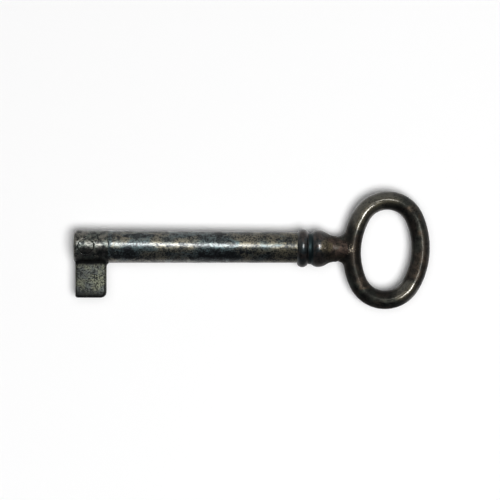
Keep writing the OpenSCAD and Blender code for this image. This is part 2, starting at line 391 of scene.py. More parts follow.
def grain(tree, where, size_mm, detail=4.0, roughness=0.55, stretch=(1, 1, 1), shift=(0, 0, 0),
          distortion=0.0):
    """Noise whose features measure about size_mm, stretched along the axes if asked."""
    mapping = add(tree, "ShaderNodeMapping")
    mapping.inputs["Location"].default_value = shift
    mapping.inputs["Scale"].default_value = [1 / (size_mm * MM * s) for s in stretch]
    cloud = add(tree, "ShaderNodeTexNoise")
    cloud.inputs["Scale"].default_value = 1.0
    cloud.inputs["Detail"].default_value = detail
    cloud.inputs["Roughness"].default_value = roughness
    cloud.inputs["Distortion"].default_value = distortion
    feed(tree, mapping.inputs["Vector"], where)
    feed(tree, cloud.inputs["Vector"], mapping.outputs["Vector"])
    return cloud.outputs["Fac"]


def swing(tree, noise_value, width):
    """Noise that swings over a width, half of it to each side of nothing."""
    return reckon(tree, "MULTIPLY_ADD", noise_value, width, -width / 2)


def scaled(tree, value, share, outside, inside):
    """A number times a factor, which a share takes from one amount to another."""
    return reckon(tree, "MULTIPLY", value, blend_value(tree, share, outside, inside))


def marks(tree, where, ovals, ragged):
    """How far a point lies inside any of some ovals, from 0 to 1, with a number that makes them ragged.

    An oval is a centre and two half sizes in millimetres along X and Y."""
    inside = 0.0
    for x, y, half_x, half_y in ovals:
        mapping = add(tree, "ShaderNodeMapping")
        mapping.inputs["Location"].default_value = (-x / half_x, -y / half_y, 0)
        mapping.inputs["Scale"].default_value = (1 / (half_x * MM), 1 / (half_y * MM), 0)
        length = add(tree, "ShaderNodeVectorMath", operation="LENGTH")
        feed(tree, mapping.inputs["Vector"], where)
        feed(tree, length.inputs[0], mapping.outputs["Vector"])
        away = reckon(tree, "ADD", length.outputs["Value"], ragged)
        inside = reckon(tree, "MAXIMUM", inside, between(tree, away, *OVAL_EDGE, 1.0, 0.0))
    return inside


def dress(tree, colour, roughness, height, bump_mm, skin, skin_roughness):
    """Ends a finish: dark metal with its colour, roughness and bump, under a waxy skin of its own."""
    shader = add(tree, "ShaderNodeBsdfPrincipled")
    shader.inputs["Metallic"].default_value = 1.0
    shader.inputs["Coat Roughness"].default_value = skin_roughness
    shader.inputs["Coat IOR"].default_value = SKIN_IOR
    bump = add(tree, "ShaderNodeBump")
    bump.inputs["Distance"].default_value = bump_mm * MM
    feed(tree, bump.inputs["Height"], height)
    feed(tree, shader.inputs["Normal"], bump.outputs["Normal"])
    feed(tree, shader.inputs["Coat Normal"], bump.outputs["Normal"])
    feed(tree, shader.inputs["Base Color"], colour)
    feed(tree, shader.inputs["Roughness"], roughness)
    feed(tree, shader.inputs["Coat Weight"], skin)
    feed(tree, tree.nodes["Material Output"].inputs["Surface"], shader.outputs["BSDF"])


# %% [markdown]
# ### Barrel steel
# The barrel is drawn steel, blackened with age and rubbed by the lock. Its stains run a little along the
# barrel: they are teal and grey in front, and browner towards the collar, where the barrel is rubbed
# less and its skin is thinner. Beside the streak lie a few dark, dull marks and a few warm, rubbed ones,
# which shift both the tint and the wear.

# %% Barrel steel
BROWNER_X = (24 * MM, 44 * MM)
BROWNER_BY = 0.11
DARK_MARKS = [(10.6, -1.5, 3.1, 1.2), (28.7, -1.7, 5.1, 1.4),
              (13.9, 2.15, 4.1, 0.55), (28.2, 1.75, 3.2, 0.85)]
WARM_MARKS = [(18.2, -1.5, 4.3, 1.2), (37.8, -0.8, 1.8, 0.6), (38.8, 1.3, 6.4, 1.2)]
DARK_SHIFT = dict(tint=-0.12, wear=-0.13)
WARM_SHIFT = dict(tint=0.10, wear=0.03)
STEEL_TEAL = (0.040, 0.060, 0.062)
STEEL_BROWN = (0.098, 0.084, 0.055)
STEEL_UNRUBBED = (0.018, 0.022, 0.023)
STEEL_PITS = (0.006, 0.007, 0.008)
STEEL_BROWN_OVER = (0.38, 0.66)
STEEL_RUBBED_OVER = (0.26, 0.62)
STEEL_CLEAN_OVER = (0.41, 0.58)
STEEL_ROUGHNESS = (0.48, 0.40)
STEEL_SKIN = (0.62, 1.0)
SKIN_AT_COLLAR = 0.52


def barrel_steel():
    """Blackened steel, rubbed along the barrel, with dark and warm marks."""
    material = bpy.data.materials.new("rubbed_barrel_steel")
    tree = nodes_of(material)
    where = add(tree, "ShaderNodeTexCoord").outputs["Object"]
    towards_collar = between(tree, place_along(tree, where, "X"), *BROWNER_X)
    stains = grain(tree, where, 3.0, detail=3, stretch=(1.7, 1, 1), distortion=0.8)
    patches = grain(tree, where, 1.2, detail=5, roughness=0.6, stretch=(1.5, 1, 1), shift=(4, 2, 7),
                    distortion=0.5)
    pits = grain(tree, where, 0.34, detail=4, roughness=0.7, shift=(9, 5, 1))
    fine = grain(tree, where, 0.16, detail=2, roughness=0.6, shift=(2, 8, 3))
    ragged = swing(tree, patches, 2.4)
    dark = marks(tree, where, DARK_MARKS, ragged)
    warm = marks(tree, where, WARM_MARKS, ragged)

    darker = reckon(tree, "MULTIPLY", dark, DARK_SHIFT["tint"])
    tint_shift = blend_value(tree, warm, darker, WARM_SHIFT["tint"])
    browned = reckon(tree, "ADD", stains, reckon(tree, "MULTIPLY", towards_collar, BROWNER_BY))
    browned = reckon(tree, "ADD", browned, tint_shift)
    tint = blend(tree, between(tree, browned, *STEEL_BROWN_OVER), STEEL_TEAL, STEEL_BROWN)

    brighter = reckon(tree, "MULTIPLY", warm, WARM_SHIFT["wear"])
    wear_shift = blend_value(tree, dark, brighter, DARK_SHIFT["wear"])
    worn_to = reckon(tree, "ADD", patches, wear_shift)
    rubbed = between(tree, worn_to, *STEEL_RUBBED_OVER)
    colour = blend(tree, rubbed, STEEL_UNRUBBED, tint)
    pitted = reckon(tree, "ADD", pits, reckon(tree, "MULTIPLY_ADD", worn_to, 0.35, -0.16))
    clean = between(tree, pitted, *STEEL_CLEAN_OVER)
    colour = blend(tree, clean, STEEL_PITS, colour)

    roughness = blend_value(tree, rubbed, *STEEL_ROUGHNESS)
    skin = scaled(tree, blend_value(tree, rubbed, *STEEL_SKIN), clean, SKIN_IN_PITS, 1.0)
    skin = scaled(tree, skin, towards_collar, 1.0, SKIN_AT_COLLAR)
    height = blend_value(tree, FINE_IN_BUMP, pits, fine)
    dress(tree, colour, roughness, height, bump_mm=0.032, skin=skin, skin_roughness=0.19)
    return material


steel = barrel_steel()
print(steel.name, "has", len(steel.node_tree.nodes), "nodes")

# %% [markdown]
# ### Bit iron
# The bit head is cast. Its sleeve was rubbed smooth with the barrel, while the bit kept its cast face:
# rougher, greyer and greener, with coarse grain. Two materials could meet at a line on the mesh, but the
# real change is soft, so one material holds both and a mask across the barrel's axis tells the one from the
# other. Painted shade darkens the bit at its root, in the corner under the sleeve, and a painted dark
# reflection runs along its far edge. The bit is also darker towards its front, and two dark, dull marks lie
# low on the sleeve.

# %% Bit iron
RUBBED_ABOVE = -1.6 * MM
CAST_BELOW = -3.2 * MM
# The painted shade at the bit's root ends here.
ROOT_SHADE_ENDS = -4.3 * MM
BIT_PALE = (2.2 * MM, 4.4 * MM)
# A painted dark reflection along the bit's far edge, where the rolled rim would mirror the dim sky.
FAR_EDGE_SHADE = (BIT_FAR_EDGE + 0.6 * MM, BIT_FAR_EDGE + 2.1 * MM)
# Two dark, dull marks low on the sleeve.
SLEEVE_MARKS = [(5.8, -0.95, 1.2, 1.2), (2.8, -1.0, 1.6, 1.1)]
CAST_GREY = (0.080, 0.086, 0.078)
CAST_OLIVE = (0.142, 0.144, 0.100)
CAST_PITS_AND_SHADE = (0.010, 0.010, 0.010)
SLEEVE_GREEN = (0.040, 0.047, 0.037)
SLEEVE_BROWN = (0.078, 0.070, 0.054)
SLEEVE_MARK_TINT = (0.014, 0.011, 0.009)
SLEEVE_PITS = (0.006, 0.007, 0.007)
SHOWS_AT_ROOT = 0.05
SHOWS_AT_EDGE = 0.12
SHOWS_IN_FRONT = 0.66
CAST_OLIVE_OVER = (0.40, 0.60)
CAST_CLEAN_OVER = (0.41, 0.60)
SLEEVE_BROWN_OVER = (0.42, 0.58)
SLEEVE_CLEAN_OVER = (0.41, 0.58)
IRON_ROUGHNESS = (0.55, 0.42)
CAST_SKIN = 0.12
SLEEVE_SKIN = (0.15, 0.85)
SKIN_IN_MARKS = 0.8


def bit_iron():
    """Cast iron: rubbed and waxy on the sleeve, grey-green and matt on the bit."""
    material = bpy.data.materials.new("grainy_bit_iron")
    tree = nodes_of(material)
    where = add(tree, "ShaderNodeTexCoord").outputs["Object"]
    across = place_along(tree, where, "Y")
    sleeve = between(tree, across, CAST_BELOW, RUBBED_ABOVE)
    # Painted shade at the bit's root, in the corner under the sleeve.
    outside_root_shade = between(tree, across, ROOT_SHADE_ENDS, CAST_BELOW, 1.0, SHOWS_AT_ROOT)
    # A painted dark reflection along the far edge.
    outside_edge_shade = between(tree, across, *FAR_EDGE_SHADE, SHOWS_AT_EDGE, 1.0)
    pale = between(tree, place_along(tree, where, "X"), *BIT_PALE, SHOWS_IN_FRONT, 1.0)
    stains = grain(tree, where, 2.0, detail=4, distortion=0.6, shift=(1, 6, 2))
    patches = grain(tree, where, 0.9, detail=4, roughness=0.6, shift=(6, 6, 3))
    grit = grain(tree, where, 0.34, detail=4, roughness=0.75, shift=(3, 3, 8))
    fine = grain(tree, where, 0.18, detail=3, roughness=0.7)

    cast = blend(tree, between(tree, stains, *CAST_OLIVE_OVER), CAST_GREY, CAST_OLIVE)
    gritty = reckon(tree, "ADD", grit, swing(tree, patches, 0.3))
    cast = blend(tree, between(tree, gritty, *CAST_CLEAN_OVER), CAST_PITS_AND_SHADE, cast)
    # The cast face under painted shade at its root and a painted dark reflection at its far edge, and darker
    # towards its front.
    kept = reckon(tree, "MULTIPLY", reckon(tree, "MULTIPLY", outside_root_shade, outside_edge_shade), pale)
    cast = blend(tree, kept, CAST_PITS_AND_SHADE, cast)

    rubbed = blend(tree, between(tree, stains, *SLEEVE_BROWN_OVER), SLEEVE_GREEN, SLEEVE_BROWN)
    # Two dark, dull marks low on the sleeve, duller where they lie.
    marked = marks(tree, where, SLEEVE_MARKS, swing(tree, patches, 1.4))
    rubbed = blend(tree, marked, rubbed, SLEEVE_MARK_TINT)
    pitted = reckon(tree, "ADD", grit, swing(tree, patches, 0.8))
    clean = between(tree, pitted, *SLEEVE_CLEAN_OVER)
    rubbed = blend(tree, clean, SLEEVE_PITS, rubbed)

    colour = blend(tree, sleeve, cast, rubbed)
    roughness = blend_value(tree, sleeve, *IRON_ROUGHNESS)
    skin = scaled(tree, blend_value(tree, clean, *SLEEVE_SKIN), marked, 1.0, SKIN_IN_MARKS)
    skin = blend_value(tree, sleeve, CAST_SKIN, skin)
    height = blend_value(tree, 0.3, grit, fine)
    dress(tree, colour, roughness, height, bump_mm=0.040, skin=skin, skin_roughness=0.26)
    return material


iron = bit_iron()
print(iron.name, "has", len(iron.node_tree.nodes), "nodes")

# %% [markdown]
# ### Antique brass
# The collar, neck and bow are brass under a near-black patina with olive, reddish and teal stains. The
# bow is smooth from the hand, while the turned mouldings between it and the barrel kept a duller
# patina. One function makes both finishes, and what only one of them has is an option: other tints
# behind some place along the key, a dark groove whose teal is partly a painted sheen, ovals that the
# hand polished, darker and duller ovals, a patch where the patina is thin and olive, and specks of bare
# brass, painted bright as glints, which show only where the noise of the pits is high.

# %% Antique brass
BRASS_UNRUBBED = (0.005, 0.005, 0.005)
NEAR_BLACK = (0.006, 0.006, 0.006)
# Dark patina in the groove, whose teal also stands in for the groove's sheen: a painted sheen.
GROOVE_PATINA_AND_SHEEN = (0.011, 0.018, 0.020)
POLISHED_TINT = (0.038, 0.033, 0.021)
POLISHED_PITS = (0.010, 0.010, 0.008)
OLIVE_TINT = (0.064, 0.053, 0.034)
# Bare brass, painted bright enough to stand for glints.
BARE_BRASS_GLINT = (0.22, 0.19, 0.15)
BRASS_STAINED_OVER = (0.42, 0.58)
BRASS_RUBBED_OVER = (0.30, 0.66)
BRASS_CLEAN_OVER = (0.34, 0.54)
OLIVE_OVER = (0.38, 0.56)
SPECKS_SLOPE = (-10.0, 6.1)
RUBBED_AT_LEAST = 0.35
BRASS_ROUGHNESS = 0.46
DULLING_ROUGHNESS = (0.42, 0.62)
DULL_LATER = (0.6 * MM, 0.9 * MM)
SKIN_WHERE_DULL = 0.12
SKIN_IN_GROOVE = 0.10
SKIN_WHERE_NOT_HELD = 0.16
SKIN_IN_DARK_OVALS = 0.35
DARK_OVALS_COVER = 0.6


def antique_brass(name, tints, skin, skin_roughness, bump_mm, tints_along=None, groove=None,
                  held=None, darkened=None, olive=None, bare=None):
    """A brass finish with two tints of stains.

    tints_along gives a stretch along the key behind which two other tints show and the metal is dull, and
    groove the stretch that stays dark, with its teal partly a painted sheen. The others are ovals: polished
    where the key is held, darker and duller, thin and olive, or bare, where specks are painted bright as
    glints."""
    material = bpy.data.materials.new(name)
    tree = nodes_of(material)
    where = add(tree, "ShaderNodeTexCoord").outputs["Object"]
    along = place_along(tree, where, "X")
    stains = grain(tree, where, 3.2, detail=3, distortion=0.6, shift=(5, 1, 2))
    patches = grain(tree, where, 1.1, detail=5, roughness=0.6, shift=(8, 8, 1), distortion=0.5)
    pits = grain(tree, where, 0.30, detail=4, roughness=0.75, shift=(7, 2, 4))
    fine = grain(tree, where, 0.15, detail=2, roughness=0.6, shift=(6, 1, 9))
    stained = between(tree, stains, *BRASS_STAINED_OVER)
    tint = blend(tree, stained, *tints)
    if tints_along:
        low, high, *others = tints_along
        tint = blend(tree, between(tree, along, low, high), tint, blend(tree, stained, *others))
    rubbed = between(tree, patches, *BRASS_RUBBED_OVER, RUBBED_AT_LEAST, 1.0)
    colour = blend(tree, rubbed, BRASS_UNRUBBED, tint)
    pitted = reckon(tree, "ADD", pits, swing(tree, patches, 0.4))
    clean = between(tree, pitted, *BRASS_CLEAN_OVER)
    colour = blend(tree, clean, NEAR_BLACK, colour)
    skin = blend_value(tree, clean, SKIN_IN_PITS * skin, skin)
    roughness = BRASS_ROUGHNESS
    if tints_along:
        duller = (low + DULL_LATER[0], high + DULL_LATER[1])
        roughness = between(tree, along, *duller, *DULLING_ROUGHNESS)
        skin = reckon(tree, "MULTIPLY", skin, between(tree, along, *duller, 1.0, SKIN_WHERE_DULL))
    # The groove keeps dark patina, and its teal is partly a painted sheen.
    if groove:
        middle, half = (groove[0] + groove[1]) / 2, (groove[1] - groove[0]) / 2
        off_middle = reckon(tree, "ABSOLUTE", reckon(tree, "SUBTRACT", along, middle), 0.0)
        out_of_groove = between(tree, off_middle, half, 1.5 * half)
        colour = blend(tree, out_of_groove, GROOVE_PATINA_AND_SHEEN, colour)
        skin = scaled(tree, skin, out_of_groove, SKIN_IN_GROOVE, 1.0)
    if held:
        polish = marks(tree, where, held, swing(tree, patches, 0.4))
        skin = scaled(tree, skin, polish, SKIN_WHERE_NOT_HELD, 1.0)
        colour = blend(tree, polish, colour, blend(tree, clean, POLISHED_PITS, POLISHED_TINT))
    # Darker and duller ovals.
    if darkened:
        dark_oval = marks(tree, where, darkened, swing(tree, patches, 0.8))
        skin = scaled(tree, skin, dark_oval, 1.0, SKIN_IN_DARK_OVALS)
        colour = blend(tree, reckon(tree, "MULTIPLY", dark_oval, DARK_OVALS_COVER), colour, NEAR_BLACK)
    if olive:
        thin = marks(tree, where, olive, swing(tree, patches, 1.6))
        thin = reckon(tree, "MULTIPLY", thin, between(tree, pits, *OLIVE_OVER))
        colour = blend(tree, thin, colour, OLIVE_TINT)
    # Specks of bare brass, painted bright as glints.
    if bare:
        speck = marks(tree, where, bare, reckon(tree, "MULTIPLY_ADD", pits, *SPECKS_SLOPE))
        colour = blend(tree, speck, colour, BARE_BRASS_GLINT)
    height = blend_value(tree, FINE_IN_BUMP, pits, fine)
    dress(tree, colour, roughness, height, bump_mm, skin, skin_roughness)
    print(name, "has", len(tree.nodes), "nodes")
    return material


# %% [markdown]
# ## Turned pieces
# A lathe makes the barrel, collar and neck, and so does bmesh: a profile is a chain of vertices in the
# XZ plane, X along the barrel and Z the radius, and a full spin about the X axis turns it into a closed
# solid. Arcs in a profile come from one small function. After the spin the seam and the poles are merged
# and the normals are recalculated.

# %% Lathe helpers
TURN_STEPS = 160
SHARP_FROM = radians(40)


def arc(centre, radius, start, end, steps):
    """Points of an arc in a profile, as (distance, radius) pairs, with angles in degrees from the +X axis."""
    angles = [radians(start + (end - start) * i / steps) for i in range(steps + 1)]
    return [(centre[0] + radius * cos(a), centre[1] + radius * sin(a)) for a in angles]


def stretch_of(start, end, step):
    """Points that divide a straight stretch of a profile, without its two ends."""
    count = max(1, round((Vector(end) - Vector(start)).length / step))
    return [tuple(Vector(start).lerp(Vector(end), i / count)) for i in range(1, count)]


def turn(profile):
    """Spins a profile of (distance, radius) points about the X axis."""
    bm = bmesh.new()
    verts = [bm.verts.new((x, 0, r)) for x, r in profile]
    edges = [bm.edges.new(pair) for pair in zip(verts, verts[1:])]
    bmesh.ops.spin(bm, geom=verts + edges, cent=(0, 0, 0), axis=(1, 0, 0), dvec=(0, 0, 0),
                   angle=2 * pi, steps=TURN_STEPS, use_merge=True, use_duplicate=False)
    bmesh.ops.remove_doubles(bm, verts=bm.verts, dist=SAME_PLACE / 10)
    bmesh.ops.recalc_face_normals(bm, faces=bm.faces)
    return bm


def soften(bm, width, over=30, segments=2):
    """Bevels every edge that bends by more than an angle."""
    sharp = [e for e in bm.edges if e.is_manifold and degrees(e.calc_face_angle()) > over]
    bmesh.ops.bevel(bm, geom=sharp, offset=width, offset_type="OFFSET", affect="EDGES",
                    segments=segments, profile=0.5, material=-1, clamp_overlap=True)


def unevenness(place):
    """How far wear goes at a place, from 0 to about 1, by smooth noise whose waves are about 1 long."""
    return abs(noise.fractal(place, 1.0, 2.0, 3))


def finish_piece(bm, name, node, material):
    """Makes a piece of a bmesh, with smooth shading, and lets it stand for its solid."""
    mesh = bpy.data.meshes.new(name)
    bm.to_mesh(mesh)
    bm.free()
    mesh.shade_smooth()
    mesh.set_sharp_from_angle(angle=SHARP_FROM)
    mesh.materials.append(material)
    piece = bpy.data.objects.new(name, mesh)
    bpy.context.scene.collection.objects.link(piece)
    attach(piece, "root")
    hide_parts(node)
    print(name, "has", len(mesh.polygons), "faces")
    return piece


print("the lathe turns in", TURN_STEPS, "steps")

# %% [markdown]
# Two more tools work on closed solids. One cuts a solid with another or keeps what they share, as a drill
# or a file does. The other makes overlapping solids one skin by a voxel remesh and relaxes it, which
# rounds every edge and every corner between them, as casting, brazing and wear do. Both are modifiers on
# a scratch object, whose evaluated mesh goes back into a bmesh.

# %% Helpers that cut and merge solids


def scratch_object(bm):
    """Puts a bmesh on a scratch object of the scene."""
    mesh = bpy.data.meshes.new("blank")
    bm.to_mesh(mesh)
    bm.free()
    blank = bpy.data.objects.new("blank", mesh)
    bpy.context.scene.collection.objects.link(blank)
    return blank


def clear_away(blank):
    """Removes a scratch object and its mesh."""
    mesh = blank.data
    bpy.data.objects.remove(blank)
    bpy.data.meshes.remove(mesh)


def as_modified(blank):
    """A scratch object's mesh with its modifiers applied, as a bmesh."""
    bpy.context.view_layer.update()
    bm = bmesh.new()
    bm.from_object(blank, bpy.context.evaluated_depsgraph_get())
    clear_away(blank)
    return bm


def carve(bm, tool, operation="DIFFERENCE"):
    """Cuts a closed solid with another one, or keeps what the two share."""
    blank, cutter = scratch_object(bm), scratch_object(tool)
    cut = blank.modifiers.new("cut", "BOOLEAN")
    cut.operation = operation
    cut.solver = "EXACT"
    cut.object = cutter
    result = as_modified(blank)
    clear_away(cutter)
    return result


def one_skin(bm, voxel, rounds):
    """Merges overlapping solids into one skin, and relaxes it."""
    blank = scratch_object(bm)
    remesh = blank.modifiers.new("one_skin", "REMESH")
    remesh.mode = "VOXEL"
    remesh.voxel_size = voxel
    relax = blank.modifiers.new("relax", "SMOOTH")
    relax.factor = 0.5
    relax.iterations = rounds
    return as_modified(blank)


def join(bm, other):
    """Adds one bmesh to another."""
    mesh = bpy.data.meshes.new("joined")
    other.to_mesh(mesh)
    other.free()
    bm.from_mesh(mesh)
    bpy.data.meshes.remove(mesh)


def block(size, middle, turned=0.0):
    """A box of three sizes round a point, turned about its own upright axis."""
    bm = bmesh.new()
    bmesh.ops.create_cube(bm, size=1)
    bmesh.ops.scale(bm, vec=size, verts=bm.verts)
    bmesh.ops.rotate(bm, cent=(0, 0, 0), matrix=Matrix.Rotation(turned, 3, "Z"), verts=bm.verts)
    bmesh.ops.translate(bm, vec=middle, verts=bm.verts)
    return bm


# %% [markdown]
# ### Barrel
# The barrel tapers slightly. In front it is turned down to a tenon under the sleeve and drilled for the
# lock's pin, with a drill point at the bottom of the hole. Behind it is bored for the stem. A cross hole
# takes the two head pins. The long outside is divided often enough for wear to show as a wandering edge
# of the streak. A bump could bend the streak too, but it would leave the barrel's outline straight.

# %% Barrel
STEP = 0.4 * MM
SEAM_CHAMFER = 0.02 * MM
TENON_R = 2.48 * MM
PIN_BORE_DEPTH = 22 * MM
DRILL_POINT = PIN_BORE_R / tan(radians(59))
MOUTH_CHAMFER = 0.2 * MM
HEAD_PIN_X = 2.55 * MM
HEAD_PIN_R = 1.6 * MM
OUTSIDE_OVER_R = 1.1 * TENON_R
BARREL_WEAR_SIZE = 5 * MM
BARREL_WEAR_DEPTH = 0.02 * MM


def cross_pin(radius):
    """A cylinder right through the head, where the two head pins sit."""
    bm = bmesh.new()
    bmesh.ops.create_cone(bm, cap_ends=True, segments=96, radius1=radius, radius2=radius, depth=4 * MOUTH_R)
    bmesh.ops.translate(bm, vec=(HEAD_PIN_X, 0, 0), verts=bm.verts)
    return bm


shoulder = (SLEEVE_END, barrel_r(SLEEVE_END) - SEAM_CHAMFER)
outside_start = (SLEEVE_END + SEAM_CHAMFER, barrel_r(SLEEVE_END))
outside_end = (COLLAR_FACE, BARREL_END_R)
profile = [(STEM_END, 0), (STEM_END, STEM_R), (COLLAR_FACE, STEM_R), outside_end]
profile += stretch_of(outside_end, outside_start, STEP)
profile += [outside_start, shoulder, (SLEEVE_END, TENON_R), (0, TENON_R)]
profile += [(0, PIN_BORE_R + MOUTH_CHAMFER), (MOUTH_CHAMFER, PIN_BORE_R)]
profile += [(PIN_BORE_DEPTH, PIN_BORE_R), (PIN_BORE_DEPTH + DRILL_POINT, 0)]
bm = carve(turn(profile), cross_pin(HEAD_PIN_R))
outside = [v for v in bm.verts if v.co.x > SLEEVE_END and Vector(v.co.yz).length > OUTSIDE_OVER_R]
for v in outside:
    radial = Vector((0, v.co.y, v.co.z)).normalized()
    v.co -= radial * unevenness(v.co / BARREL_WEAR_SIZE) * BARREL_WEAR_DEPTH
barrel = finish_piece(bm, "barrel_tube", "barrel", steel)

# %% [markdown]
# ### Collar
# The collar is one bead of round section, cut flat on both faces and bored for its seat on the neck. It
# shares its finish with the neck: mouldings are hard to rub bright, so they keep a dull patina, teal at
# the collar and the groove and reddish behind the second bead, with one olive patch on the ogee. In the
# groove the teal also stands in for the groove's sheen, a painted sheen, and on the ogee one bare speck is
# painted bright as a glint.

# %% Finish of the mouldings
COLLAR_LENGTH = 2.1 * MM
COLLAR_END = COLLAR_FACE + COLLAR_LENGTH
GROOVE_LENGTH = 0.77 * MM
# The teal lies a little behind the groove, onto the second bead's front, where it paints the groove's sheen.
TEAL_START = COLLAR_END + 0.25 * MM
BEAD_TINTS = ((0.010, 0.015, 0.017), (0.032, 0.022, 0.018))
NECK_TINTS = ((0.034, 0.028, 0.021), (0.052, 0.037, 0.030))
NECK_TINTS_X = (49.7 * MM, 51.2 * MM)
NECK_OLIVE = [(51.3, 0.35, 1.2, 1.25)]
# A bare speck on the ogee, painted bright as a glint.
NECK_GLINT_SPECK = [(51.1, -0.25, 0.4, 0.3)]

neck_brass = antique_brass("moulding_brass", BEAD_TINTS, skin=0.42, skin_roughness=0.15, bump_mm=0.018,
                           tints_along=(*NECK_TINTS_X, *NECK_TINTS),
                           groove=(TEAL_START, TEAL_START + GROOVE_LENGTH),
                           olive=NECK_OLIVE, bare=NECK_GLINT_SPECK)

# %% Collar
COLLAR_BEAD_R = 1.25 * MM
COLLAR_CREST_R = 3.85 * MM
COLLAR_BORE_R = 2.2 * MM
TURNED_EDGE = 0.06 * MM

bead_centre = (COLLAR_FACE + COLLAR_LENGTH / 2, COLLAR_CREST_R - COLLAR_BEAD_R)
face_angle = degrees(acos(COLLAR_LENGTH / 2 / COLLAR_BEAD_R))
profile = [(COLLAR_FACE, COLLAR_BORE_R)]
profile += arc(bead_centre, COLLAR_BEAD_R, 180 - face_angle, face_angle, steps=24)
profile += [(COLLAR_END, COLLAR_BORE_R), (COLLAR_FACE, COLLAR_BORE_R)]
bm = turn(profile)
soften(bm, TURNED_EDGE)
bmesh.ops.transform(bm, matrix=LEANED, verts=bm.verts)
collar = finish_piece(bm, "collar_bead", "collar", neck_brass)

# %% [markdown]
# ### Neck
# Behind the collar come a groove, a second bead with a steep front and a long rear curve, and a hollow
# that runs out to the waist. Their radii meet in tangents, so the bead's and the hollow's give the
# length of the ogee between them. A taper behind the waist goes into the bow. In front, a stem and a
# seat fill barrel and collar.

# %% Neck
COLLAR_SEAT_R = 2.18 * MM
GROOVE_R = 3.2 * MM
BEAD_R = 3.74 * MM
BEAD_FRONT_R = 1.85 * MM
BEAD_REAR_R = 3.0 * MM
HOLLOW_R = 3.2 * MM
WAIST_R = 2.62 * MM
WAIST_TO_BOW = 3.35 * MM
NECK_END_PAST = 0.2 * MM
NECK_END_R = BAR_R - 0.06 * MM

front_rise = asin((GROOVE_R - BEAD_R + BEAD_FRONT_R) / BEAD_FRONT_R)
crest_x = COLLAR_END + GROOVE_LENGTH + BEAD_FRONT_R * cos(front_rise)
ogee_drop = WAIST_R + HOLLOW_R - BEAD_R + BEAD_REAR_R
ogee_length = sqrt((BEAD_REAR_R + HOLLOW_R) ** 2 - ogee_drop ** 2)
ogee_angle = degrees(atan2(ogee_drop, ogee_length))
waist_x = crest_x + ogee_length
bow_front_x = waist_x + WAIST_TO_BOW
neck_end_x = bow_front_x + NECK_END_PAST

profile = [(STEM_END, 0), (STEM_END, STEM_R), (COLLAR_FACE, STEM_R), (COLLAR_FACE, COLLAR_SEAT_R)]
profile += [(COLLAR_END, COLLAR_SEAT_R), (COLLAR_END, GROOVE_R), (COLLAR_END + GROOVE_LENGTH / 2, GROOVE_R)]
profile += arc((crest_x, BEAD_R - BEAD_FRONT_R), BEAD_FRONT_R, 180 - degrees(front_rise), 90, steps=14)
profile += arc((crest_x, BEAD_R - BEAD_REAR_R), BEAD_REAR_R, 90, ogee_angle, steps=14)[1:]
profile += arc((waist_x, WAIST_R + HOLLOW_R), HOLLOW_R, 180 + ogee_angle, 270, steps=14)[1:]
profile += [(neck_end_x, NECK_END_R), (neck_end_x, 0)]
bm = turn(profile)
soften(bm, TURNED_EDGE)
bmesh.ops.transform(bm, matrix=LEANED, verts=bm.verts)
neck = finish_piece(bm, "neck_turning", "neck", neck_brass)
print("bead crest at", round(crest_x / MM, 2), "mm, waist at", round(waist_x / MM, 2), "mm")
print("bow starts at", round(bow_front_x / MM, 2), "mm")

# %% [markdown]
# ## Bow
# The bow is a round bar bent to an oval. The oval is four arcs that meet without a corner, so a circle
# of vertices is spun on from arc to arc, each time from where the last spin ended, about the centre of
# the next arc. A swept curve would bend as well, but the spins keep the real radii. The bar's crest lies
# a hair outside its middle, where the real bow shows its line of light. Two small webs fill the crotches
# beside the neck.

# %% Bow's bar and webs
BOW_HALF_WIDTH = 6.98 * MM
BOW_HALF_HEIGHT = 10.1 * MM
BOW_END_R = 6 * MM
BOW_LEAN = radians(2.2)
SIDE_STEPS = 24
END_STEPS = 40
CREST_OUTWARD = 0.06 * MM
CROTCH_FAR_R = 1.5 * MM
CROTCH_NEAR_R = 1 * MM
CROTCH_WEB_R = 1.4 * MM

bow_x = bow_front_x + BOW_HALF_WIDTH
end_offset = BOW_HALF_HEIGHT - BOW_END_R
side_r = (BOW_HALF_WIDTH ** 2 + end_offset ** 2 - BOW_END_R ** 2) / (2 * (BOW_HALF_WIDTH - BOW_END_R))
side_offset = side_r - BOW_HALF_WIDTH
side_angle = atan2(end_offset, side_offset)


def spin_on(bm, geom, centre, angle, steps):
    """Spins a section about a vertical axis, and gives back the section at the end."""
    made = bmesh.ops.spin(bm, geom=geom, cent=centre, axis=(0, 0, 1), dvec=(0, 0, 0), angle=angle,
                          steps=steps, use_merge=False, use_duplicate=False)
    return made["geom_last"]


def oval_bar():
    """The closed oval of round bar, round the origin."""
    bm = bmesh.new()
    section = bmesh.ops.create_circle(bm, segments=48, radius=BAR_R)["verts"]
    for vert in section:
        vert.co.x += CREST_OUTWARD * (vert.co.y / BAR_R) ** 2
    stand = Matrix.Translation((BOW_HALF_WIDTH, 0, 0)) @ Matrix.Rotation(radians(90), 4, "X")
    bmesh.ops.transform(bm, matrix=stand, verts=section)
    geom = section + list(bm.edges)
    geom = spin_on(bm, geom, (-side_offset, 0, 0), side_angle, SIDE_STEPS // 2)
    for top, halves in ((1, 2), (-1, 1)):
        geom = spin_on(bm, geom, (0, top * end_offset, 0), pi - 2 * side_angle, END_STEPS)
        geom = spin_on(bm, geom, (top * side_offset, 0, 0), halves * side_angle, halves * SIDE_STEPS // 2)
    bmesh.ops.remove_doubles(bm, verts=bm.verts, dist=SAME_PLACE)
    bmesh.ops.recalc_face_normals(bm, faces=bm.faces)
    return bm


